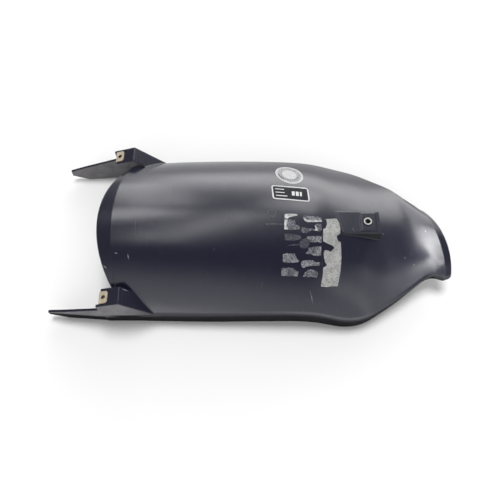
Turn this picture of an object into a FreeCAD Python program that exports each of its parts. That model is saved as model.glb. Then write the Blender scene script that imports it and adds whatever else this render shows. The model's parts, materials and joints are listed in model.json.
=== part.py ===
import FreeCAD, Part
import math
import os

Vector = FreeCAD.Vector

# Frame while modelling, in millimetres: X runs from the front of the fender to its tail,
# Y from its left side to its right side, Z up. The wheel runs in the hollow underneath.

# The moulding
wall = 3.0                     # shell, arms and lugs
edge_radius = 0.8              # rounding of the moulding's outer edges
reach_past = 20.0              # how far cutting solids pass through what they cut
hollow_drop = 5.0              # how far the hollow passes below the lower edge
trough_spans = 16              # spans between sections drawn along the trough, closer towards the tail
span_grading = 1.6

# The trough: an arch on two skirts, drawn at seven stations from front to tail
front_x = -190.0               # station ahead of the front rim
chest_x = -60.0                # station at the widest even stretch
shoulder_x = 65.0              # the right side starts to draw in
hip_x = 118.0                  # the left side starts to draw in
waist_x = 175.0                # both sides draw in
neck_x = 206.0                 # narrowest place at the sides
crest_x = 219.5                # end of the flare
front_half_width = 105.5
chest_half_width = 108.5
shoulder_left = 110.0          # reach of each side from the middle line
shoulder_right = 102.0
hip_left = 115.0
hip_right = 95.0
waist_left = 88.0
waist_right = 67.5
neck_left = 61.5
neck_right = 46.5
front_crown = 80.0             # height of the top of the arch
chest_crown = 81.0
shoulder_crown = 76.0
hip_crown = 66.0
waist_crown = 49.5
front_skirt = 19.0             # skirt below the arch, dying out to the tail
chest_skirt = 26.0
shoulder_skirt = 28.5
hip_skirt = 26.0
waist_skirt = 23.0
neck_skirt = 12.0
skirt_clearance = 0.5          # height of the lower edge above the ground along the front
shoulder_rise = 5.5            # the lower edge bows up here and comes down at the hips
hip_rise = 0.0
waist_rise = 7.0               # and lifts off towards the tail
neck_rise = 21.5
skirt_tuck = 4.0               # degrees; the skirts close in below the crease
crease_round = 4.0             # length of the rounding on each side of the crease
neck_yaw = 11.0                # degrees; the tail end is cut askew
neck_lean = 8.0                # degrees; and its top edge leans out

# Tail: the crown dips to a saddle and flares up to a crest, beyond which a lip levels out
saddle_x = 194.0
saddle_crown = 45.5
tail_yaw = 11.5                # degrees
tail_lean = 8.0                # degrees
flare_rise = 4.5               # how far the crest stands above the saddle
flare_left = 3.5               # how far each side spreads from the neck to the crest
flare_right = -11.5
crest_skirt = 6.0
crest_rise = 24.5
lip_reach = 4.0                # from the crest to the free edge, at the foot
lip_yaw = 14.0                 # degrees
lip_lean = 22.0                # degrees; the lip is widest on the crown
lip_tuck = 1.5                 # how far the free edge turns in all round
lip_fall = 3.0                 # and how far it falls on the crown

# Front rim: the arch ends in a leaning plane, with a band turned down beyond it
rim_x = -162.0                 # where the band begins, on the crown
rim_lean = 16.0                # degrees from upright
rim_skew = 1.5                 # degrees; the right side lies a little further back
band_length = 17.0             # length of the band on the crown
band_lean = 39.0
band_skew = 3.0
band_step = 1.0                # the band starts this far below the arch
band_drop = 4.5                # how far the band's free edge drops below its root
band_overlap = 17.0            # how far the band's root runs back inside the arch's wall

# Lugs: roofs over the arm roots that carry the clip nuts
lug_front_x = -170.5           # front edge of the top plate
lug_front_height = 53.5
lug_ridge_x = -147.5
lug_ridge_height = 61.0
lug_foot_x = -109.5            # where the sloping panel reaches the skirt
lug_foot_height = 24.0
lug_depth = 21.5               # from the outer wall inwards
lug_half_width = 107.0         # outer wall from the middle line
lug_nose = 4.0                 # how far the outer wall reaches ahead of the top plate
lug_crease = 24.0              # height at which the outer wall and the arm fold in like the skirt
lug_hole_diameter = 6.0        # bolt passage under the clip nut

# Arms: blades running forward from the lugs' outer walls
arm_length = 69.5              # from the top plate's front edge to the tip
arm_root_height = 39.0
arm_root_x = -171.0            # where the outer wall ends above the arm's lower half
arm_tip_height = 18.0
arm_tip_low = 10.0
arm_overlap = 8.0              # how far the blade runs back inside the lug's outer wall
arm_toe = 20.0                 # length of the bevel under the tip
arm_inset = 0.8                # step from the lug's outer wall in to the arm
arm_toe_in = 4.0               # degrees; the blades close in towards their tips

# Clip nuts: sheet-steel U clips pushed over the lugs' front edges, M5 thread
clip_sheet = 0.9
clip_width = 14.5
clip_side_gap = 0.3            # clearance from the lug's outer wall
clip_leaf = 10.0               # length of the upper leaf on the lug
clip_tail = 13.5               # length of the lower leaf
clip_play = 0.05               # clearance between leaf and lug
clip_corner = 2.0              # bevelled corners of the leaves
clip_bend = 0.8                # outer rounding of the two bends
nut_inset = 4.7                # thread axis, measured back from the lug's front edge
nut_bore = 4.2                 # core diameter of the thread
leaf_hole = 5.2                # the bolt passes freely through the upper leaf
nut_outside = 7.6
nut_height = 4.0

# Mounting pad on the crown near the tail, with a steel bush
pad_front_x = 102.0
pad_length = 51.0
pad_skew = 6.0                 # the pad's front edge runs askew by this much across its width
pad_middle_y = -7.3
pad_width = 29.5
pad_top = 70.0
pad_draft = 2.0                # how much each wall spreads down to the trough
pad_foot = 44.0                # height at which the pad's walls end inside the trough
seat_start = 28.0              # raised seat, measured from the pad's front
seat_length = 18.5
seat_margin = 2.5
seat_height = 1.2
bush_inset = 14.5              # bush axis, measured back from the pad's tail end
bush_outside = 10.0
bush_bore = 6.5
bush_collar = 11.0
bush_collar_height = 0.8
bush_length = 9.0
bush_boss = 15.0               # moulded boss that holds the bush


def smooth(places, values, x):
    """Value at x on a curve through the given places that never overshoots them."""
    steps = [b - a for a, b in zip(places, places[1:])]
    rises = [(b - a) / step for a, b, step in zip(values, values[1:], steps)]
    slopes = [rises[0]]
    for before, after in zip(rises, rises[1:]):
        slopes.append(2 * before * after / (before + after) if before * after > 0 else 0.0)
    slopes.append(2 * rises[-1] - slopes[-1])
    span = 0
    while span < len(steps) - 1 and x > places[span + 1]:
        span += 1
    step = steps[span]
    t = (x - places[span]) / step
    return (
        (1 + 2 * t) * (1 - t) ** 2 * values[span]
        + t * (1 - t) ** 2 * step * slopes[span]
        + t**2 * (3 - 2 * t) * values[span + 1]
        + t**2 * (t - 1) * step * slopes[span + 1]
    )


def section(x, left, right, crown, skirt, rise, yaw, lean, inset, drop):
    """Closed wire across the trough: tucked skirts, rounded creases and an arch, all moved inwards
    by inset, with the feet drop below the lower edge. One side is worked out as (across, height)."""
    crease = rise + skirt
    half = (left + right) / 2.0
    middle = (right - left) / 2.0
    outer_radius = (half**2 + (crown - crease) ** 2) / (2.0 * (crown - crease))
    radius = outer_radius - inset
    centre = crown - outer_radius
    spread = math.asin((half - inset) / radius)
    arch_spread = spread - crease_round / radius
    handle = 4.0 / 3.0 * math.tan(arch_spread / 2.0) * radius
    tuck = math.tan(math.radians(skirt_tuck))
    turn = math.radians(yaw)
    tilt = math.tan(math.radians(lean))

    def on_arch(angle):
        return radius * math.sin(angle), centre + radius * math.cos(angle)

    corner = on_arch(spread)
    arch_end = on_arch(arch_spread)
    arch_pole = (
        arch_end[0] - handle * math.cos(arch_spread),
        arch_end[1] + handle * math.sin(arch_spread),
    )
    skirt_top = (corner[0] - crease_round * tuck, corner[1] - crease_round)
    round_middle = [(top + 2.0 * tip + end) / 4.0 for top, tip, end in zip(skirt_top, corner, arch_end)]
    foot_height = rise - drop
    foot = (corner[0] - (corner[1] - foot_height) * tuck, foot_height)

    def place(side, point):
        across = middle + side * point[0]
        along = x - across * math.sin(turn) + (point[1] - rise) * tilt
        return Vector(along, across * math.cos(turn), point[1])

    half_outline = (foot, skirt_top, round_middle, arch_end, arch_pole)
    left_foot, left_top, left_round, left_end, left_pole = [place(-1, point) for point in half_outline]
    right_foot, right_top, right_round, right_end, right_pole = [place(1, point) for point in half_outline]
    arch = Part.BezierCurve()
    arch.setPoles([left_end, left_pole, right_pole, right_end])
    right_side = Part.makePolygon([right_end, right_round, right_top, right_foot, left_foot])
    left_side = Part.makePolygon([left_foot, left_top, left_round, left_end])
    return Part.Wire([arch.toShape()] + right_side.Edges + left_side.Edges)


def trough_form(x):
    """Reach to the left and right, crown, skirt, rise, yaw and lean of the trough at x."""
    stations = (front_x, chest_x, shoulder_x, hip_x, waist_x, neck_x, crest_x)
    crown_stations = (front_x, chest_x, shoulder_x, hip_x, waist_x, saddle_x, crest_x)
    lefts = (front_half_width, chest_half_width, shoulder_left, hip_left, waist_left, neck_left,
             neck_left + flare_left)
    rights = (front_half_width, chest_half_width, shoulder_right, hip_right, waist_right, neck_right,
              neck_right + flare_right)
    crowns = (front_crown, chest_crown, shoulder_crown, hip_crown, waist_crown, saddle_crown,
              saddle_crown + flare_rise)
    skirts = (front_skirt, chest_skirt, shoulder_skirt, hip_skirt, waist_skirt, neck_skirt, crest_skirt)
    rises = (skirt_clearance, skirt_clearance, shoulder_rise, hip_rise, waist_rise, neck_rise, crest_rise)
    yaws = (0.0, 0.0, 0.0, 0.0, 0.0, neck_yaw, tail_yaw)
    leans = (0.0, 0.0, 0.0, 0.0, 0.0, neck_lean, tail_lean)
    crown = smooth(crown_stations, crowns, x)
    left, right, skirt, rise, yaw, lean = [
        smooth(stations, row, x) for row in (lefts, rights, skirts, rises, yaws, leans)
    ]
    return left, right, crown, skirt, rise, yaw, lean


def trough_section(x, inset, drop):
    """Section of the trough at x, between the stations that shape it."""
    return section(x, *trough_form(x), inset, drop)


def free_edge(inset, drop):
    """Section at the free edge of the tail's lip, turned in and down from the crest."""
    left, right, crown, skirt, rise = trough_form(crest_x)[:5]
    x = crest_x + lip_reach
    return section(x, left, right, crown - lip_fall, skirt, rise, lip_yaw, lip_lean, inset + lip_tuck, drop)


def trough(inset, drop):
    """Solid under the arch, from ahead of the front rim to the free edge of the tail."""
    shares = [1.0 - (1.0 - i / trough_spans) ** span_grading for i in range(trough_spans + 1)]
    stations = [trough_section(front_x + (crest_x - front_x) * share, inset, drop) for share in shares]
    body = Part.makeLoft(stations, True, False)
    lip = Part.makeLoft([stations[-1], free_edge(inset, drop)], True, True)
    return body.fuse(lip)


def ahead_of(crown_x, crown_z, lean, skew):
    """Block filling everything ahead of a leaning plane through a point on the crown."""
    size = 2.0 * (crest_x - front_x)
    corner = Vector(crown_x - size, -size / 2.0, crown_z - size / 2.0)
    ahead = Part.makeBox(size, size, size, corner)
    on_crown = Vector(crown_x, 0, crown_z)
    ahead.rotate(on_crown, Vector(0, 1, 0), -lean)
    ahead.rotate(on_crown, Vector(0, 0, 1), -skew)
    return ahead


def front_band():
    """The band beyond the front rim, turned down from the arch."""
    free_x = rim_x - band_length
    root_x = rim_x + band_overlap
    end_drop = band_drop * (root_x - front_x) / (root_x - free_x)

    def wedge(inset, drop):
        root = trough_section(root_x, band_step + inset, drop)
        end = trough_section(front_x, band_step + inset + end_drop, drop)
        return Part.makeLoft([root, end], True, True)

    band = wedge(0.0, 0.0).cut(wedge(wall, hollow_drop))
    return band.cut(ahead_of(free_x, front_crown - band_step - band_drop, band_lean, band_skew))


def rounded(shape, radius, chosen):
    """The shape with each edge rounded whose two ends pass the test."""
    edges = [edge for edge in shape.Edges if all(chosen(end.Point) for end in edge.Vertexes)]
    return shape.makeFillet(radius, edges)


def plate(outline, thickness):
    """Upright plate standing on the XZ outline, thickness towards +Y."""
    points = [Vector(x, 0, z) for x, z in outline]
    face = Part.Face(Part.makePolygon(points + points[:1]))
    return face.extrude(Vector(0, thickness, 0))


def folded_plate(outline):
    """Upright plate on the XZ outline with its outer face at Y = 0, folded in below the crease."""
    low_x = min(x for x, z in outline)
    high_x = max(x for x, z in outline)
    fold = lug_crease * math.tan(math.radians(skirt_tuck))
    profile = [
        Vector(low_x, 0, lug_ridge_height),
        Vector(low_x, 0, lug_crease),
        Vector(low_x, fold, 0),
        Vector(low_x, fold + wall, 0),
        Vector(low_x, wall, lug_crease),
        Vector(low_x, wall, lug_ridge_height),
    ]
    sheet = Part.Face(Part.makePolygon(profile + profile[:1])).extrude(Vector(high_x - low_x, 0, 0))
    return sheet.common(plate(outline, fold + wall))


def lug_slope():
    """Direction along the lug's top plate, from its front edge up to the ridge."""
    run = lug_ridge_x - lug_front_x
    climb = lug_ridge_height - lug_front_height
    return math.atan2(climb, run)


def left_lug():
    """Outer wall, top plate and sloping panel over the arm's root, drawn with the wall at Y = 0."""
    slope = lug_slope()
    nose_x = lug_front_x - lug_nose
    outline = [
        (arm_root_x, skirt_clearance),
        (lug_foot_x, skirt_clearance),
        (lug_foot_x, lug_foot_height),
        (lug_ridge_x, lug_ridge_height),
        (nose_x, lug_front_height - lug_nose * math.tan(slope)),
        (nose_x, arm_root_height),
        (arm_root_x, arm_root_height),
    ]
    outer_wall = folded_plate(outline)
    fall = math.atan2(lug_ridge_height - lug_foot_height, lug_foot_x - lug_ridge_x)
    ridge_wall = wall / math.cos((slope + fall) / 2.0)
    ridge_turn = (slope - fall) / 2.0

    def below(x, height, thickness, angle):
        return (x + thickness * math.sin(angle), height - thickness * math.cos(angle))

    roof = plate(
        [
            (lug_front_x, lug_front_height),
            (lug_ridge_x, lug_ridge_height),
            (lug_foot_x, lug_foot_height),
            below(lug_foot_x, lug_foot_height, wall, -fall),
            below(lug_ridge_x, lug_ridge_height, ridge_wall, ridge_turn),
            below(lug_front_x, lug_front_height, wall, slope),
        ],
        lug_depth,
    )
    lug = outer_wall.fuse(roof).removeSplitter()

    def on_roof_edge(end):
        above_plate = lug_front_height + (end.x - lug_front_x) * math.tan(slope)
        above_panel = lug_ridge_height - (end.x - lug_ridge_x) * math.tan(fall)
        return end.y < wall / 2.0 and end.z > min(above_plate, above_panel) - edge_radius

    return rounded(lug, edge_radius, on_roof_edge)


def left_arm():
    """Blade running forward from under the lug, drawn with the lug's outer wall at Y = 0."""
    tip_x = lug_front_x - arm_length
    outline = [
        (tip_x, arm_tip_low),
        (tip_x + arm_toe, 0),
        (arm_root_x + arm_overlap, 0),
        (arm_root_x + arm_overlap, arm_root_height),
        (arm_root_x, arm_root_height),
        (tip_x, arm_tip_height),
    ]
    blade = folded_plate(outline)
    blade.rotate(Vector(arm_root_x, 0, 0), Vector(0, 0, 1), -arm_toe_in)
    blade.translate(Vector(0, arm_inset, 0))
    return blade


def seat_left(shape):
    """Carry a piece drawn with the lug's outer wall at Y = 0 to the left side of the trough."""
    seated = shape.copy()
    seated.translate(Vector(0, -lug_half_width, 0))
    return seated


def other_side(shape):
    """The same piece on the right side."""
    return shape.mirror(Vector(0, 0, 0), Vector(0, 1, 0))


def on_lug(shape):
    """Carry a piece drawn on a level plate, front edge at the origin, to the lug's top plate."""
    placed = shape.copy()
    placed.rotate(Vector(0, 0, 0), Vector(0, 1, 0), -math.degrees(lug_slope()))
    across = wall + clip_side_gap + clip_width / 2.0
    placed.translate(Vector(lug_front_x, across, lug_front_height))
    return placed


def pin(diameter, length, foot):
    """Upright round solid."""
    return Part.makeCylinder(diameter / 2.0, length, foot, Vector(0, 0, 1))


def lug_passage():
    """Bolt passage through a lug's top plate."""
    return on_lug(pin(lug_hole_diameter, 2 * reach_past, Vector(nut_inset, 0, -reach_past)))


def clip_nut():
    """U clip: two leaves joined by a bend ahead of the lug's edge, with a threaded collar below."""
    above = clip_play
    below = -wall - clip_play
    front = -clip_play

    def leaf(length, low):
        half = clip_width / 2.0
        points = [
            Vector(front, -half, low),
            Vector(length - clip_corner, -half, low),
            Vector(length, -half + clip_corner, low),
            Vector(length, half - clip_corner, low),
            Vector(length - clip_corner, half, low),
            Vector(front, half, low),
        ]
        return Part.Face(Part.makePolygon(points + points[:1])).extrude(Vector(0, 0, clip_sheet))

    height = above - below + 2 * clip_sheet
    corner = Vector(front - clip_sheet, -clip_width / 2.0, below - clip_sheet)
    bend = Part.makeBox(clip_sheet, clip_width, height, corner)
    bend = rounded(bend, clip_bend, lambda p: p.x < front - clip_sheet / 2.0)
    collar = pin(nut_outside, nut_height, Vector(nut_inset, 0, below - nut_height))
    clip = leaf(clip_leaf, above).fuse([leaf(clip_tail, below - clip_sheet), bend, collar])
    bore = pin(nut_bore, 2 * reach_past, Vector(nut_inset, 0, -reach_past))
    entry = pin(leaf_hole, reach_past, Vector(nut_inset, 0, below))
    return clip.cut(bore).cut(entry).removeSplitter()


def pad_form(shrink, top):
    """Tapered block under the pad's top with broken edges, moved inwards by shrink."""

    def ring(spread, height):
        low_x = pad_front_x + shrink - spread
        high_x = pad_front_x + pad_length - shrink + spread
        half = pad_width / 2.0 - shrink + spread
        corners = [
            Vector(low_x + pad_skew, pad_middle_y - half, height),
            Vector(high_x, pad_middle_y - half, height),
            Vector(high_x, pad_middle_y + half, height),
            Vector(low_x, pad_middle_y + half, height),
        ]
        return Part.makePolygon(corners + corners[:1])

    rings = [ring(pad_draft, pad_foot), ring(0.0, top - edge_radius), ring(-edge_radius, top)]
    return Part.makeLoft(rings, True, True)


def bush_axis(height):
    """Point on the bush's axis."""
    return Vector(pad_front_x + pad_length - bush_inset, pad_middle_y, height)


def bush():
    """Steel sleeve with a thin collar that seats on the pad."""
    seat = pad_top + seat_height
    sleeve = pin(bush_outside, bush_length, bush_axis(seat - bush_length))
    collar = pin(bush_collar, bush_collar_height, bush_axis(seat))
    bore = pin(bush_bore, bush_length + 2 * reach_past, bush_axis(seat - bush_length - reach_past))
    return sleeve.fuse(collar).cut(bore).removeSplitter()


def pad_seat():
    """Raised seat on the pad, rooted in the pad's top wall."""
    width = pad_width - 2 * seat_margin
    corner = Vector(pad_front_x + seat_start, pad_middle_y - width / 2.0, pad_top - wall)
    seat = Part.makeBox(seat_length, width, wall + seat_height, corner)
    return rounded(seat, edge_radius, lambda end: end.z > pad_top)


def fender():
    """The whole moulding: shell, front band, arms, lugs and pad."""
    front = ahead_of(rim_x, front_crown, rim_lean, rim_skew)
    side = seat_left(left_lug().fuse(left_arm()).cut(lug_passage()))
    whole = trough(0.0, 0.0).cut(front)
    for addition in (pad_form(0.0, pad_top), pad_seat(), side, other_side(side)):
        whole = whole.fuse(addition)
    whole = whole.cut(trough(wall, hollow_drop).cut(front))
    whole = whole.cut(pad_form(wall, pad_top - wall))
    bush_foot = pad_top + seat_height - bush_length
    whole = whole.fuse(pin(bush_boss, bush_length - seat_height, bush_axis(bush_foot)))
    whole = whole.cut(pin(bush_outside, bush_length + 2 * reach_past, bush_axis(bush_foot - reach_past)))
    return whole.fuse(front_band()).removeSplitter()


left_clip = seat_left(on_lug(clip_nut()))
pieces = {
    "inner_fender": fender(),
    "clip_nut_left": left_clip,
    "clip_nut_right": other_side(left_clip),
    "pad_bush": bush(),
}

# Origin under the middle of the whole part, on the ground it rests on
whole_box = FreeCAD.BoundBox()
for shape in pieces.values():
    whole_box.add(shape.optimalBoundingBox(False, False))
to_origin = Vector(-whole_box.Center.x, -whole_box.Center.y, -whole_box.ZMin)

os.makedirs("parts", exist_ok=True)
for name, shape in pieces.items():
    shape.translate(to_origin)
    shape.exportStep("parts/" + name + ".step")
    print(name, shape.isValid(), len(shape.Solids), "solids", round(shape.Volume), "mm3")
print("origin moved by", to_origin)
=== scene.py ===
import bpy
import json
import math
import mathutils
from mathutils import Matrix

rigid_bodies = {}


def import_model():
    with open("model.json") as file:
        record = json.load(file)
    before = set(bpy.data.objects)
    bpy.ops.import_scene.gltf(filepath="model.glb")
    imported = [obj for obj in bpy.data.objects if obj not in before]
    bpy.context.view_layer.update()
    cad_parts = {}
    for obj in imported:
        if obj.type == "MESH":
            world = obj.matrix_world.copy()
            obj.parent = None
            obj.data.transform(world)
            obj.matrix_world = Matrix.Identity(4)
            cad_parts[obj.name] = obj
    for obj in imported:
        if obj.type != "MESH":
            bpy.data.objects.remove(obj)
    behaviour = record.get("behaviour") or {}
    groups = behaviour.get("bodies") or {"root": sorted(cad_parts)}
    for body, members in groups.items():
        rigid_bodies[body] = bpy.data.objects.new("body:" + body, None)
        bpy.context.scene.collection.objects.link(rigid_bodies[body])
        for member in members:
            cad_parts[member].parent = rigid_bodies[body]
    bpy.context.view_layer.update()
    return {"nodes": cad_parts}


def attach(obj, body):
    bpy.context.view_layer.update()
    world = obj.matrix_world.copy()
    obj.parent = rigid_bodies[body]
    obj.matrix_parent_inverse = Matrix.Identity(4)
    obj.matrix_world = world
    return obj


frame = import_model()

# Moulded fender
# One injection moulding in black plastic: trough, front band, arms, lugs, pad and flared tail. It leaves
# the tool glossy, with rounded creases. With use it has got fine scratches and specks, and its upright
# faces have gone matt. Painted shade makes the upright faces a darker black and the edges folded in
# underneath nearly black, and a painted reflection of the bright table makes the walls at the front a
# cloudy lighter grey.
mottle = bpy.data.node_groups.new("mottle", "ShaderNodeTree")
mottle.interface.new_socket("Scale", in_out="INPUT", socket_type="NodeSocketFloat")
mottle.interface.new_socket("Low", in_out="INPUT", socket_type="NodeSocketFloat")
mottle.interface.new_socket("High", in_out="INPUT", socket_type="NodeSocketFloat")
mottle.interface.new_socket("Value", in_out="OUTPUT", socket_type="NodeSocketFloat")
inside = mottle.nodes
given = inside.new("NodeGroupInput")
result = inside.new("NodeGroupOutput")
place = inside.new("ShaderNodeTexCoord")
cloud = inside.new("ShaderNodeTexNoise")
cloud.inputs["Detail"].default_value = 5.0
cloud.inputs["Roughness"].default_value = 0.65
span = inside.new("ShaderNodeMapRange")
span.inputs["From Min"].default_value = 0.32
span.inputs["From Max"].default_value = 0.68
mottle.links.new(place.outputs["Object"], cloud.inputs["Vector"])
mottle.links.new(given.outputs["Scale"], cloud.inputs["Scale"])
mottle.links.new(cloud.outputs["Fac"], span.inputs["Value"])
mottle.links.new(given.outputs["Low"], span.inputs["To Min"])
mottle.links.new(given.outputs["High"], span.inputs["To Max"])
mottle.links.new(span.outputs["Result"], result.inputs["Value"])


def add_mottle(tree, scale, low, high):
    """Cloudy value over the surface, between low and high, with its scale in turns per metre."""
    node = tree.nodes.new("ShaderNodeGroup")
    node.node_tree = mottle
    node.inputs["Scale"].default_value = scale
    node.inputs["Low"].default_value = low
    node.inputs["High"].default_value = high
    return node.outputs["Value"]


def combine(tree, operation, first, second):
    """One step of arithmetic on two values, either of which may be a plain number."""
    node = tree.nodes.new("ShaderNodeMath")
    node.operation = operation
    for socket, value in zip(node.inputs, (first, second)):
        if isinstance(value, float):
            socket.default_value = value
        else:
            tree.links.new(value, socket)
    return node.outputs["Value"]


def blend(tree, share, first, second):
    """Colour between two colours, either of which may be plain."""
    node = tree.nodes.new("ShaderNodeMix")
    node.data_type = "RGBA"
    tree.links.new(share, node.inputs["Factor"])
    for socket, colour in ((node.inputs["A"], first), (node.inputs["B"], second)):
        if isinstance(colour, tuple):
            socket.default_value = colour + (1.0,)
        else:
            tree.links.new(colour, socket)
    return node.outputs["Result"]


def fade(tree, value, start, full):
    """Share that grows from none at one value to all at the other."""
    node = tree.nodes.new("ShaderNodeMapRange")
    node.interpolation_type = "SMOOTHSTEP"
    node.inputs["From Min"].default_value = start
    node.inputs["From Max"].default_value = full
    tree.links.new(value, node.inputs["Value"])
    return node.outputs["Result"]


def new_finish(name):
    """New material, with its node tree and its shader."""
    material = bpy.data.materials.new(name)
    material.use_nodes = True
    return material, material.node_tree, material.node_tree.nodes["Principled BSDF"]


def dress(name, material):
    """Give one of the solids its finish."""
    solid = frame["nodes"][name]
    solid.data.materials.clear()
    solid.data.materials.append(material)
    return solid


plastic, tree, shader = new_finish("black_plastic")
shader.inputs["IOR"].default_value = 1.54
place = tree.nodes.new("ShaderNodeTexCoord")
facing = tree.nodes.new("ShaderNodeSeparateXYZ")
tree.links.new(place.outputs["Normal"], facing.inputs["Vector"])
upright = fade(tree, facing.outputs["Z"], 0.3, 0.1)
along = tree.nodes.new("ShaderNodeSeparateXYZ")
tree.links.new(place.outputs["Object"], along.inputs["Vector"])
folded_in = fade(tree, facing.outputs["Z"], -0.02, -0.05)
outside = fade(tree, facing.outputs["Z"], -0.5, -0.3)
leaning = combine(tree, "MULTIPLY", folded_in, outside)
arm_length = fade(tree, along.outputs["X"], -0.15, -0.18)
arm_height = fade(tree, along.outputs["Z"], 0.013, 0.019)
arm_sides = combine(tree, "MULTIPLY", arm_length, arm_height)
undercut_shade = combine(tree, "MULTIPLY", leaning, combine(tree, "SUBTRACT", 1.0, arm_sides))
front_walls = combine(tree, "MULTIPLY", fade(tree, along.outputs["X"], -0.1, -0.15), upright)
painted_reflection_walls = combine(tree, "MULTIPLY", front_walls, combine(tree, "SUBTRACT", 1.0, undercut_shade))
stretch = tree.nodes.new("ShaderNodeMapping")
stretch.inputs["Rotation"].default_value = (0.0, 0.0, 0.5)
stretch.inputs["Scale"].default_value = (800.0, 40.0, 40.0)
tree.links.new(place.outputs["Object"], stretch.inputs["Vector"])
hairs = tree.nodes.new("ShaderNodeTexNoise")
hairs.inputs["Scale"].default_value = 1.0
hairs.inputs["Detail"].default_value = 2.0
hairs.inputs["Distortion"].default_value = 0.8
tree.links.new(stretch.outputs["Vector"], hairs.inputs["Vector"])
scuffed = add_mottle(tree, 14.0, 0.0, 1.0)
scratches = combine(tree, "MULTIPLY", fade(tree, hairs.outputs["Fac"], 0.7, 0.8), scuffed)
grains = tree.nodes.new("ShaderNodeTexVoronoi")
grains.inputs["Scale"].default_value = 75.0
tree.links.new(place.outputs["Object"], grains.inputs["Vector"])
chance = tree.nodes.new("ShaderNodeSeparateColor")
tree.links.new(grains.outputs["Color"], chance.inputs["Color"])
dots = fade(tree, grains.outputs["Distance"], 0.075, 0.035)
few = fade(tree, chance.outputs["Red"], 0.86, 0.9)
specks = combine(tree, "MULTIPLY", dots, few)
# Painted shade: upright faces get a darker black than the rest of the moulding.
shaded_base = blend(tree, upright, (0.0085, 0.0085, 0.021), (0.003, 0.0026, 0.0055))
# Painted reflection of the bright table: the walls at the front are painted a cloudy lighter grey.
painted_reflection_share = combine(tree, "MULTIPLY", painted_reflection_walls, add_mottle(tree, 60.0, 0.6, 1.0))
base_with_painted_light = blend(tree, painted_reflection_share, shaded_base, (0.165, 0.16, 0.17))
dusty = blend(tree, combine(tree, "MULTIPLY", scratches, 0.16), base_with_painted_light, (0.16, 0.16, 0.18))
marked = blend(tree, combine(tree, "MULTIPLY", specks, 0.75), dusty, (0.3, 0.3, 0.3))
tree.links.new(marked, shader.inputs["Base Color"])
gloss = add_mottle(tree, 22.0, 0.21, 0.27)
worn = combine(tree, "ADD", gloss, combine(tree, "MULTIPLY", scratches, 0.2))
edged = combine(tree, "ADD", worn, combine(tree, "MULTIPLY", upright, 0.6))
tree.links.new(edged, shader.inputs["Roughness"])
# Painted shade: a near-black metal gives back hardly any light, which keeps the folded edges as dark as
# they look.
tree.links.new(combine(tree, "MULTIPLY", undercut_shade, 0.8), shader.inputs["Metallic"])
rounding = tree.nodes.new("ShaderNodeBevel")
rounding.samples = 6
rounding.inputs["Radius"].default_value = 0.0022
bump = tree.nodes.new("ShaderNodeBump")
bump.inputs["Distance"].default_value = 0.00004
bump.inputs["Strength"].default_value = 0.35
skin = combine(tree, "SUBTRACT", add_mottle(tree, 420.0, 0.0, 0.35), scratches)
tree.links.new(skin, bump.inputs["Height"])
tree.links.new(rounding.outputs["Normal"], bump.inputs["Normal"])
tree.links.new(bump.outputs["Normal"], shader.inputs["Normal"])
fender = dress("inner_fender", plastic)

# Clip nuts
# Spring-steel U clips, plated in yellow zinc and pushed over the front edges of the lugs.
# The plating is cloudy and has dulled and browned a little with age.


def cloudy_finish(name, colours, grain, gloss, gloss_grain, low=0.0):
    """Material whose colour and roughness each wander between two values, with its shader."""
    material, tree, shader = new_finish(name)
    colour = blend(tree, add_mottle(tree, grain, low, 1.0), colours[0], colours[1])
    tree.links.new(colour, shader.inputs["Base Color"])
    tree.links.new(add_mottle(tree, gloss_grain, gloss[0], gloss[1]), shader.inputs["Roughness"])
    return material, shader


zinc_colours = ((0.6, 0.54, 0.4), (0.42, 0.35, 0.27))
zinc, shader = cloudy_finish("yellow_zinc", zinc_colours, 160.0, (0.34, 0.5), 260.0)
shader.inputs["Metallic"].default_value = 0.4
for name in ("clip_nut_left", "clip_nut_right"):
    dress(name, zinc)

# Pad bush
# Turned steel sleeve with a thin collar, plated bright and pressed into the pad's seat.
# Its collar is painted dark from 4.4 mm off the axis outwards.
bush_axis = (0.137835, -0.004137, 0.0)
dark_rim_starts = 0.0044
dark_rim_full = 0.005
steel, tree, shader = new_finish("bush_steel")
shader.inputs["Metallic"].default_value = 1.0
bright = blend(tree, add_mottle(tree, 300.0, 0.0, 1.0), (0.54, 0.54, 0.52), (0.38, 0.38, 0.37))
place = tree.nodes.new("ShaderNodeTexCoord")
flat = tree.nodes.new("ShaderNodeVectorMath")
flat.operation = "MULTIPLY"
flat.inputs[1].default_value = (1.0, 1.0, 0.0)
tree.links.new(place.outputs["Object"], flat.inputs[0])
reach = tree.nodes.new("ShaderNodeVectorMath")
reach.operation = "DISTANCE"
reach.inputs[1].default_value = bush_axis
tree.links.new(flat.outputs["Vector"], reach.inputs[0])
# Darker from 4.4 mm off the axis, fully dark from 5 mm.
dark_rim = fade(tree, reach.outputs["Value"], dark_rim_starts, dark_rim_full)
tree.links.new(blend(tree, dark_rim, bright, (0.05, 0.05, 0.05)), shader.inputs["Base Color"])
tree.links.new(add_mottle(tree, 400.0, 0.3, 0.42), shader.inputs["Roughness"])
dress("pad_bush", steel)

# Torn foil strip
# The end of a printed foil label on a paper back, stuck over the arch beside the pad.
# The rest was pulled off, which left this strip with a torn edge and one deep tear.


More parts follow.
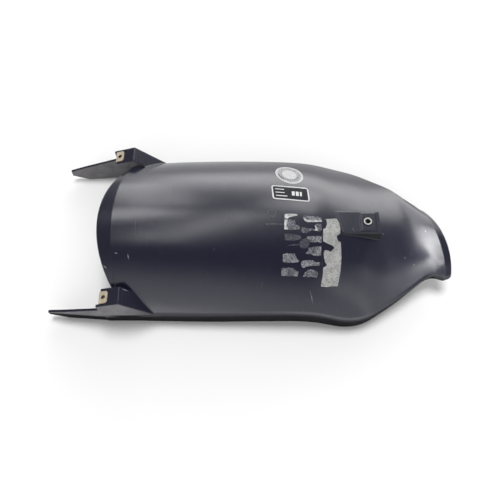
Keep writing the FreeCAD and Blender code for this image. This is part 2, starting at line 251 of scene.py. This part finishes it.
def lay_film(name, outlines, material, lift=0.03, thickness=0.12, cell=1.3):
    """Film cut from a fine grid by outlines in millimetres, laid on the fender and made thick."""
    mm = 0.001
    margin = 2.0
    cutting_height = 0.2
    cutter_half_depth = 0.01
    curve = bpy.data.curves.new(name + "_outline", "CURVE")
    curve.dimensions = "2D"
    curve.fill_mode = "BOTH"
    curve.extrude = cutter_half_depth
    for outline in outlines:
        spline = curve.splines.new("POLY")
        spline.points.add(len(outline) - 1)
        for point, (x, y) in zip(spline.points, outline):
            point.co = (x * mm, y * mm, 0.0, 1.0)
        spline.use_cyclic_u = True
    cutter = bpy.data.objects.new(name + "_outline", curve)
    bpy.context.scene.collection.objects.link(cutter)
    bpy.ops.object.select_all(action="DESELECT")
    cutter.select_set(True)
    bpy.context.view_layer.objects.active = cutter
    bpy.ops.object.convert(target="MESH")
    cutter = bpy.context.object
    bpy.ops.object.mode_set(mode="EDIT")
    bpy.ops.mesh.select_all(action="SELECT")
    bpy.ops.mesh.remove_doubles(threshold=0.000001)
    bpy.ops.mesh.normals_make_consistent(inside=False)
    bpy.ops.transform.translate(value=(0.0, 0.0, cutting_height))
    bpy.ops.object.mode_set(mode="OBJECT")
    left = min(x for x, y in outlines[0]) - margin
    right = max(x for x, y in outlines[0]) + margin
    near = min(y for x, y in outlines[0]) - margin
    far = max(y for x, y in outlines[0]) + margin
    bpy.ops.object.select_all(action="DESELECT")
    columns = round((right - left) / cell)
    rows = round((far - near) / cell)
    bpy.ops.mesh.primitive_grid_add(x_subdivisions=columns, y_subdivisions=rows, size=1.0)
    piece = bpy.context.object
    piece.name = name
    bpy.ops.object.mode_set(mode="EDIT")
    bpy.ops.mesh.select_all(action="SELECT")
    bpy.ops.transform.resize(value=((right - left) * mm, (far - near) * mm, 1.0))
    middle = ((left + right) / 2.0 * mm, (near + far) / 2.0 * mm, cutting_height)
    bpy.ops.transform.translate(value=middle)
    bpy.ops.object.mode_set(mode="OBJECT")
    bpy.ops.object.modifier_add(type="BOOLEAN")
    trim = piece.modifiers[-1]
    trim.operation = "INTERSECT"
    trim.solver = "EXACT"
    trim.object = cutter
    bpy.ops.object.modifier_apply(modifier=trim.name)
    bpy.data.objects.remove(cutter)
    bpy.ops.object.modifier_add(type="SHRINKWRAP")
    wrap = piece.modifiers[-1]
    wrap.target = fender
    wrap.wrap_method = "PROJECT"
    wrap.use_project_z = True
    wrap.use_negative_direction = True
    wrap.use_positive_direction = False
    wrap.offset = lift * mm
    bpy.ops.object.modifier_apply(modifier=wrap.name)
    bpy.ops.object.modifier_add(type="SOLIDIFY")
    body = piece.modifiers[-1]
    body.thickness = thickness * mm
    body.offset = 1.0
    bpy.ops.object.modifier_apply(modifier=body.name)
    bpy.ops.object.shade_smooth_by_angle(angle=math.radians(40.0))
    piece.data.materials.clear()
    piece.data.materials.append(material)
    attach(piece, "root")
    return piece


def crinkle(tree, grain, strength):
    """Fine raised grain over a film."""
    bump = tree.nodes.new("ShaderNodeBump")
    bump.inputs["Distance"].default_value = 0.0002
    bump.inputs["Strength"].default_value = strength
    tree.links.new(add_mottle(tree, grain, 0.0, 1.0), bump.inputs["Height"])
    tree.links.new(bump.outputs["Normal"], tree.nodes["Principled BSDF"].inputs["Normal"])


paper_back, tree, shader = new_finish("silver_paper")
grain = combine(tree, "ADD", add_mottle(tree, 700.0, -0.6, 0.6), add_mottle(tree, 90.0, 0.2, 0.85))
tree.links.new(blend(tree, grain, (0.13, 0.13, 0.128), (0.42, 0.42, 0.41)), shader.inputs["Base Color"])
tree.links.new(add_mottle(tree, 300.0, 0.4, 0.65), shader.inputs["Roughness"])
shader.inputs["Metallic"].default_value = 0.15
crinkle(tree, 450.0, 0.5)
strip = [
    (86.8, -2.2), (101.7, 0.6), (104.3, -4.9), (105.4, -12.3), (104.7, -18.8), (100.2, -22.4),
    (100.5, -25.4), (102.0, -28.7), (104.7, -29.3), (104.9, -46.0), (104.3, -54.8), (103.1, -64.2),
    (100.1, -78.4), (92.6, -78.8), (88.4, -79.6), (81.0, -79.6), (80.5, -78.2), (82.6, -67.5),
    (83.4, -60.0), (87.7, -57.1), (85.6, -53.7), (84.3, -49.1), (84.2, -42.6), (85.6, -40.2),
    (89.7, -40.7), (91.4, -41.8), (93.9, -40.4), (97.0, -36.9), (95.0, -34.5), (89.9, -32.8),
    (84.0, -30.3), (83.9, -22.6), (84.8, -14.5), (87.0, -14.3), (89.4, -8.5), (89.0, -2.4),
]
lay_film("foil_strip", [strip], paper_back)

# Foil remnants
# What stayed behind of the fields of the same foil label: thin mottled silver scraps on the plastic.
# Some have curled up at an edge and show the bare bright foil.
thin_foil, tree, shader = new_finish("thin_foil")
flecks = combine(tree, "ADD", add_mottle(tree, 650.0, -0.75, 0.85), add_mottle(tree, 60.0, -0.25, 0.6))
foil_colour = blend(tree, flecks, (0.022, 0.022, 0.034), (0.32, 0.32, 0.34))
tree.links.new(foil_colour, shader.inputs["Base Color"])
tree.links.new(add_mottle(tree, 500.0, 0.4, 0.7), shader.inputs["Roughness"])
crinkle(tree, 600.0, 0.6)
scraps = {
    "back_left": [
        (39.5, -5.1), (44.1, -5.0), (51.7, -5.2), (52.3, -10.8), (56.0, -12.4), (57.5, -15.1),
        (56.7, -16.9), (52.9, -17.4), (47.1, -18.2), (39.0, -17.4),
    ],
    "back_right": [
        (60.1, 1.2), (64.5, 2.0), (70.4, 0.8), (78.9, 1.0), (83.1, -0.7), (83.5, -4.0),
        (70.9, -4.9), (66.6, -5.2), (63.0, -3.2),
    ],
    "second_right": [
        (59.2, -14.6), (61.3, -14.0), (64.7, -15.2), (71.3, -15.4), (74.7, -16.1), (75.6, -14.3),
        (74.4, -11.6), (76.7, -9.1), (83.0, -8.6), (82.6, -16.5), (79.5, -18.9), (74.6, -18.1),
        (71.3, -17.2), (67.8, -19.1), (65.3, -21.4), (61.1, -21.2), (59.0, -19.4),
    ],
    "third_right": [
        (64.3, -26.6), (65.6, -25.3), (81.9, -23.8), (82.4, -27.4), (81.7, -32.2), (79.0, -31.9),
        (77.4, -30.7), (74.1, -32.2), (68.3, -31.9),
    ],
    "fourth_right": [
        (66.4, -38.7), (74.0, -37.1), (81.5, -36.3), (81.3, -41.2), (80.7, -46.6), (77.0, -47.5),
        (72.0, -46.9), (69.2, -45.8), (63.4, -45.5), (63.4, -44.4), (66.3, -42.3),
    ],
    "fourth_left": [
        (37.0, -46.5), (42.1, -45.2), (50.3, -45.5), (51.5, -47.8), (52.6, -50.5), (55.9, -53.1),
        (55.1, -54.6), (51.4, -55.1), (43.2, -55.7), (36.7, -54.9),
    ],
    "fifth_right": [
        (58.3, -53.8), (60.4, -52.7), (65.4, -52.1), (71.1, -52.4), (73.6, -54.2), (79.0, -54.0),
        (79.8, -55.9), (78.1, -58.3), (73.6, -58.1), (64.5, -59.1), (60.3, -61.0), (58.3, -59.2),
        (57.5, -56.2),
    ],
    "front_left": [
        (35.2, -61.3), (40.8, -60.7), (48.9, -60.9), (51.4, -63.5), (54.6, -64.9), (54.0, -67.5),
        (53.5, -69.5), (44.9, -69.4), (35.1, -69.0),
    ],
    "front_right": [
        (60.0, -69.5), (61.6, -66.2), (64.5, -63.3), (69.0, -62.0), (72.6, -62.7), (76.8, -64.7),
        (77.2, -66.6), (75.5, -70.4), (71.8, -70.0), (60.3, -69.9),
    ],
}
for name, outline in scraps.items():
    lay_film("foil_" + name, [outline], thin_foil, thickness=0.05)

foil_colours = ((0.2, 0.2, 0.2), (0.62, 0.62, 0.61))
bare_foil, shader = cloudy_finish("bare_foil", foil_colours, 260.0, (0.35, 0.55), 350.0, low=-0.2)
curls = {
    "back_corner": [
        (39.7, 1.0), (41.0, 2.5), (46.1, 2.9), (54.9, 2.8), (54.3, 0.6), (49.2, -0.6), (45.0, -2.2),
        (42.9, -4.1), (39.6, -3.3),
    ],
    "left_end": [
        (39.5, -5.1), (43.0, -5.1), (42.6, -9.5), (41.4, -13.0), (43.6, -16.4), (42.8, -17.8),
        (39.0, -17.4),
    ],
    "right_edge": [
        (61.0, -1.4), (64.2, -3.4), (67.6, -4.9), (74.0, -4.7), (83.5, -3.8), (83.1, -6.1),
        (70.9, -7.2), (66.6, -7.5), (63.2, -5.6),
    ],
    "second_fold": [
        (75.6, -14.3), (74.4, -11.6), (76.0, -12.0), (77.4, -15.0), (78.4, -17.6), (74.8, -17.6),
    ],
}
for name, outline in curls.items():
    lay_film("foil_" + name, [outline], bare_foil, lift=0.12, thickness=0.1, cell=1.0)

# Label residue
# Where whole fields of the foil label came off, a dull film of its glue is left on the plastic.
# It is thin and cloudy, and dust sticks to it.
glue, tree, shader = new_finish("dull_glue")
fine_patches = add_mottle(tree, 420.0, -0.3, 1.0)
patches = combine(tree, "MULTIPLY", fine_patches, add_mottle(tree, 70.0, 0.3, 1.0))
glue_colour = blend(tree, patches, (0.014, 0.014, 0.026), (0.11, 0.11, 0.125))
tree.links.new(glue_colour, shader.inputs["Base Color"])
tree.links.new(add_mottle(tree, 300.0, 0.3, 0.6), shader.inputs["Roughness"])
stains = {
    "third_left": [
        (38.9, -22.7), (47.0, -22.8), (55.2, -23.9), (58.5, -25.5), (57.6, -29.0), (49.3, -30.8),
        (39.5, -30.3),
    ],
    "between": [
        (67.4, -31.9), (67.8, -34.5), (64.8, -38.8), (59.8, -40.0), (56.6, -37.7), (55.7, -35.7),
        (57.1, -31.5), (59.2, -28.9), (63.8, -27.5),
    ],
    "streak": [(42.9, -36.0), (54.5, -34.4), (55.4, -35.4), (54.5, -36.0), (42.9, -37.2)],
    "smear": [
        (16.7, -10.8), (28.0, -10.2), (40.0, -10.4), (40.4, -11.4), (28.0, -12.0), (16.9, -12.2),
    ],
}
for name, outline in stains.items():
    lay_film("glue_" + name, [outline], glue, thickness=0.03)

# Rectangular label
# Black film with rounded corners and a white printed frame, stuck on the crown.
# Plain white bars and blocks are printed inside the frame.
film_colours = ((0.006, 0.006, 0.011), (0.01, 0.01, 0.016))
black_film, shader = cloudy_finish("black_film", film_colours, 200.0, (0.55, 0.68), 60.0)
shader.inputs["Specular IOR Level"].default_value = 0.18
print_colours = ((0.46, 0.46, 0.46), (0.62, 0.62, 0.62))
white_print, shader = cloudy_finish("white_print", print_colours, 500.0, (0.4, 0.55), 200.0)


def rounded(corners, inset, radius):
    """Four-sided outline drawn in by an inset, with each corner cut to a round of three points."""
    round_middle = 0.29
    centre = (sum(x for x, y in corners) / 4.0, sum(y for x, y in corners) / 4.0)
    drawn = []
    for x, y in corners:
        drawn.append((x - math.copysign(inset, x - centre[0]), y - math.copysign(inset, y - centre[1])))
    outline = []
    for i in range(4):
        here = mathutils.Vector(drawn[i])
        before = (mathutils.Vector(drawn[i - 1]) - here).normalized()
        after = (mathutils.Vector(drawn[(i + 1) % 4]) - here).normalized()
        outline.append(tuple(here + before * radius))
        outline.append(tuple(here + (before + after) * radius * round_middle))
        outline.append(tuple(here + after * radius))
    return outline


label = [(24.8, 46.4), (70.2, 43.7), (71.2, 20.6), (26.1, 23.3)]
lay_film("label_film", [rounded(label, 0.0, 3.0)], black_film, thickness=0.08)
frame_edges = [rounded(label, 0.3, 2.8), rounded(label, 1.9, 1.6)]
lay_film("label_frame", frame_edges, white_print, lift=0.12, thickness=0.03)
bars = {
    "first_bar": [(29.6, 40.6), (40.4, 39.9), (40.4, 38.6), (29.6, 39.3)],
    "second_bar": [(30.0, 35.2), (41.0, 34.5), (41.0, 33.2), (30.0, 33.9)],
    "third_bar": [(30.4, 30.0), (44.0, 29.2), (44.0, 27.9), (30.4, 28.7)],
    "first_block": [(49.6, 36.6), (53.0, 36.4), (53.0, 29.6), (49.6, 29.8)],
    "second_block": [(54.4, 36.3), (57.8, 36.1), (57.8, 29.3), (54.4, 29.5)],
    "third_block": [(59.2, 36.0), (61.6, 35.9), (61.6, 29.1), (59.2, 29.2)],
}
for name, outline in bars.items():
    lay_film("label_" + name, [outline], white_print, lift=0.12, thickness=0.03, cell=1.0)

# Round sticker
# Pale paper disc on the far shoulder, stuck down with its own adhesive.
# It is printed with a broad grey ring, and with a dark arc and short dashes on that.
sticker_centre = (48.3, 68.3)
shoulder_squeeze = 0.96
shoulder_skew = -0.206


def disc_edge(radius, start=0.0, end=360.0, points=36):
    """Points on a round of the sticker as seen from above, where the sloping shoulder skews it."""
    outline = []
    for i in range(points):
        angle = math.radians(start + (end - start) * i / points)
        x = shoulder_squeeze * radius * math.cos(angle)
        y = radius * math.sin(angle) + shoulder_skew * x
        outline.append((sticker_centre[0] + x, sticker_centre[1] + y))
    return outline


paper_gloss = (0.45, 0.6)
paper_colours = ((0.34, 0.34, 0.35), (0.46, 0.46, 0.47))
pale_paper, shader = cloudy_finish("pale_paper", paper_colours, 320.0, paper_gloss, 200.0)
grey_colours = ((0.11, 0.11, 0.12), (0.36, 0.36, 0.37))
grey_print, shader = cloudy_finish("grey_print", grey_colours, 420.0, paper_gloss, 200.0)
dark_colours = ((0.02, 0.02, 0.024), (0.07, 0.07, 0.08))
dark_print, shader = cloudy_finish("dark_print", dark_colours, 420.0, paper_gloss, 200.0)
lay_film("sticker_disc", [disc_edge(18.0)], pale_paper, thickness=0.1)
lay_film("sticker_ring", [disc_edge(15.2), disc_edge(9.4)], grey_print, lift=0.14, thickness=0.03)
arc = disc_edge(15.0, 186.0, 244.0, 8) + disc_edge(13.0, 240.0, 182.0, 8)
lay_film("sticker_arc", [arc], dark_print, lift=0.18, thickness=0.03, cell=0.9)
dash_count = 9
first_dash = 208.0
dash_step = 16.0
for i in range(dash_count):
    start = first_dash + dash_step * i
    dash = disc_edge(12.4, start, start + 9.0, 3) + disc_edge(10.4, start + 6.0, start - 3.0, 3)
    lay_film("sticker_dash_" + str(i + 1), [dash], dark_print, lift=0.18, thickness=0.03, cell=0.9)

# Moulded ring
# A shallow round stamp of the mould beside the foil, standing a little proud of the crown.
# Glue from the foil label has dulled it.
stamp_centre = (25.1, 3.2)
stamp_radii = (5.2, 4.3)
stamp_edges = []
for radius in stamp_radii:
    edge = []
    for degrees in range(0, 360, 12):
        angle = math.radians(degrees)
        x = stamp_centre[0] + radius * math.cos(angle)
        y = stamp_centre[1] + radius * math.sin(angle)
        edge.append((x, y))
    stamp_edges.append(edge)
lay_film("stamp_ring", stamp_edges, glue, thickness=0.1, cell=0.8)

# Scuffs
# Short nicks and a long faint scratch where the moulding was knocked in use.
# The plastic has whitened there and its skin is rough.
scraped_colours = ((0.08, 0.08, 0.09), (0.34, 0.34, 0.35))
whitened, shader = cloudy_finish("whitened_plastic", scraped_colours, 900.0, (0.5, 0.7), 700.0)
nicks = {
    "front_edge": ((-170.0, -55.8), (-165.4, -59.4), 0.5),
    "front_left": ((-156.0, -44.9), (-152.0, -45.4), 0.5),
    "front_tick": ((-140.6, -45.6), (-139.4, -52.0), 0.45),
    "lug_root": ((-146.0, -84.2), (-139.8, -84.8), 0.5),
    "pad_upper": ((119.2, -13.1), (120.4, -13.9), 0.55),
    "pad_lower": ((120.2, -15.9), (121.4, -16.5), 0.45),
    "tail_upper": ((157.9, -11.3), (159.3, -12.1), 0.5),
    "tail_middle": ((183.3, -38.4), (184.7, -39.2), 0.6),
    "tail_lower": ((194.0, -46.0), (195.4, -46.8), 0.5),
    "long_scratch": ((68.0, -83.0), (72.0, -97.5), 0.3),
}
for name, ((x0, y0), (x1, y1), half_width) in nicks.items():
    length = math.hypot(x1 - x0, y1 - y0)
    across = mathutils.Vector((y0 - y1, x1 - x0)) / length * half_width
    middle = mathutils.Vector(((x0 + x1) / 2.0, (y0 + y1) / 2.0))
    nick = [(x0, y0), tuple(middle - across), (x1, y1), tuple(middle + across)]
    lay_film("scuff_" + name, [nick], whitened, thickness=0.03, cell=0.8)

# Table
# A wide pale table top that the part lies on, white up to the horizon, with the part's own shadow on it.
# It is matt paper, so that the part isn't mirrored in it.
table_size = 30.0
bpy.ops.object.select_all(action="DESELECT")
bpy.ops.mesh.primitive_plane_add(size=table_size, location=(0.0, 0.0, 0.0))
table = bpy.context.object
table.name = "table"
paper, tree, shader = new_finish("white_paper")
shader.inputs["Base Color"].default_value = (0.82, 0.82, 0.82, 1.0)
shader.inputs["Roughness"].default_value = 0.9
shader.inputs["Specular IOR Level"].default_value = 0.0
table.data.materials.append(paper)

# Studio light
# A pale room with a bright wall behind the part, a dimmer one in front and dark sides and ceiling,
# with a tall softbox behind on the left, a smaller one on the right, a strip light overhead,
# small cards over the tail, and a wide soft light from above that evens out the table.
room = bpy.data.worlds.new("pale_room")
room.use_nodes = True
bpy.context.scene.world = room
tree = room.node_tree
direction = tree.nodes.new("ShaderNodeTexCoord")
height = tree.nodes.new("ShaderNodeSeparateXYZ")
tree.links.new(direction.outputs["Generated"], height.inputs["Vector"])
level = tree.nodes.new("ShaderNodeVectorMath")
level.operation = "MULTIPLY"
level.inputs[1].default_value = (1.0, 1.0, 0.0)
tree.links.new(direction.outputs["Generated"], level.inputs[0])
heading = tree.nodes.new("ShaderNodeVectorMath")
heading.operation = "NORMALIZE"
tree.links.new(level.outputs["Vector"], heading.inputs[0])


def wall(levels):
    """Brightness of one wall of the room: pairs of elevation in degrees and radiance."""
    ramp = tree.nodes.new("ShaderNodeValToRGB")
    elements = ramp.color_ramp.elements
    while len(elements) > 1:
        elements.remove(elements[-1])
    for i, (elevation, radiance) in enumerate(levels):
        place = math.sin(math.radians(elevation))
        element = elements[0] if i == 0 else elements.new(place)
        element.position = place
        element.color = (radiance, radiance, radiance, 1.0)
    tree.links.new(height.outputs["Z"], ramp.inputs["Fac"])
    return ramp.outputs["Color"]


def towards(azimuth, outer, inner):
    """Share of a wall by compass direction: none beyond the outer angle, all of it within the inner."""
    bearing = math.radians(azimuth)
    along = tree.nodes.new("ShaderNodeVectorMath")
    along.operation = "DOT_PRODUCT"
    along.inputs[1].default_value = (math.cos(bearing), math.sin(bearing), 0.0)
    tree.links.new(heading.outputs["Vector"], along.inputs[0])
    none_at = math.cos(math.radians(outer))
    all_at = math.cos(math.radians(inner))
    return fade(tree, along.outputs["Value"], none_at, all_at)


side_walls = wall([(0, 0.5), (8, 0.3), (50, 0.25), (80, 0.15)])
front_wall = wall([
    (0, 4.4), (5, 3.4), (12, 1.6), (30, 1.3), (40, 1.1), (46, 0.75), (54, 0.4), (62, 0.15),
    (80, 0.1),
])
back_wall = wall([
    (0, 3.0), (6, 4.0), (12, 5.4), (19, 4.6), (26, 3.0), (34, 1.4), (42, 0.8), (58, 0.45),
    (72, 0.45), (86, 0.2),
])
three_walls = blend(tree, towards(73.0, 36.0, 20.0), side_walls, back_wall)
all_walls = blend(tree, towards(-88.0, 56.0, 36.0), three_walls, front_wall)
tree.links.new(all_walls, tree.nodes["Background"].inputs["Color"])


def softbox(
    name, azimuth, elevation, width, height, radiance,
    turn=0.0, distance=2.0, target=(0.0, 0.0, 0.0), spread=180.0,
):
    """Rectangular lamp that faces a point from a compass direction, turned about its own axis."""
    lamp = bpy.data.lights.new(name, "AREA")
    lamp.shape = "RECTANGLE"
    lamp.size = width
    lamp.size_y = height
    lamp.energy = radiance * math.pi * width * height
    lamp.spread = math.radians(spread)
    holder = bpy.data.objects.new(name, lamp)
    bpy.context.scene.collection.objects.link(holder)
    bearing = math.radians(azimuth)
    rise = math.radians(elevation)
    holder.location = (
        target[0] + distance * math.cos(rise) * math.cos(bearing),
        target[1] + distance * math.cos(rise) * math.sin(bearing),
        target[2] + distance * math.sin(rise),
    )
    facing = mathutils.Euler((math.radians(90.0) - rise, 0.0, bearing + math.radians(90.0))).to_matrix()
    spun = facing @ mathutils.Matrix.Rotation(math.radians(turn), 3, "Z")
    holder.rotation_euler = spun.to_euler()
    holder.visible_camera = False
    return holder


softbox("tall_softbox", 109.0, 34.0, 0.4, 1.2, 4.3)
softbox("upper_softbox", 126.0, 58.0, 0.55, 0.4, 7.0)
softbox("right_softbox", 69.0, 40.0, 0.5, 0.95, 3.8)
softbox("side_softbox", 48.0, 26.0, 0.4, 0.5, 1.5)
softbox("front_softbox", -35.0, 39.0, 1.15, 0.95, 1.2)
softbox("strip_light", 112.0, 76.0, 1.5, 0.27, 4.2, 38.0)
overhead = 90.0
crest = (0.2065, 0.02, 0.04)
softbox("tail_card", overhead, overhead, 0.037, 0.24, 3.3, distance=0.09, target=crest, spread=78.0)
near_edge = (0.203, -0.108, 0.04)
softbox("near_card", overhead, overhead, 0.024, 0.06, 8.0, distance=0.07, target=near_edge, spread=80.0)
corner = (0.254, -0.082, 0.04)
softbox("corner_card", overhead, overhead, 0.05, 0.06, 3.4, distance=0.11, target=corner, spread=76.0)
table_lamp = bpy.data.lights.new("table_lamp", "SUN")
table_lamp.energy = 2.3
table_lamp.angle = math.radians(26.0)
table_light = bpy.data.objects.new("table_lamp", table_lamp)
bpy.context.scene.collection.objects.link(table_light)
table_light.rotation_euler = (math.radians(-13.0), 0.0, 0.0)
table_light.visible_glossy = False
for lamp in bpy.data.objects:
    if lamp.type == "LIGHT" and lamp != table_light:
        lamp.visible_diffuse = False

# Camera
# Above the near side, looking down at the part as a person standing at the table would.
# Its place and its lens are those that lay the part's outline where the photograph has it.
camera = bpy.data.cameras.new("camera")
camera.sensor_width = 36.0
camera.lens = 40.39
eye = bpy.data.objects.new("camera", camera)
bpy.context.scene.collection.objects.link(eye)
eye.location = (-0.000665, -0.323337, 0.649105)
eye.rotation_euler = (math.radians(26.0), 0.0, 0.0)
bpy.context.scene.camera = eye
bpy.context.scene.view_settings.view_transform = "Standard"
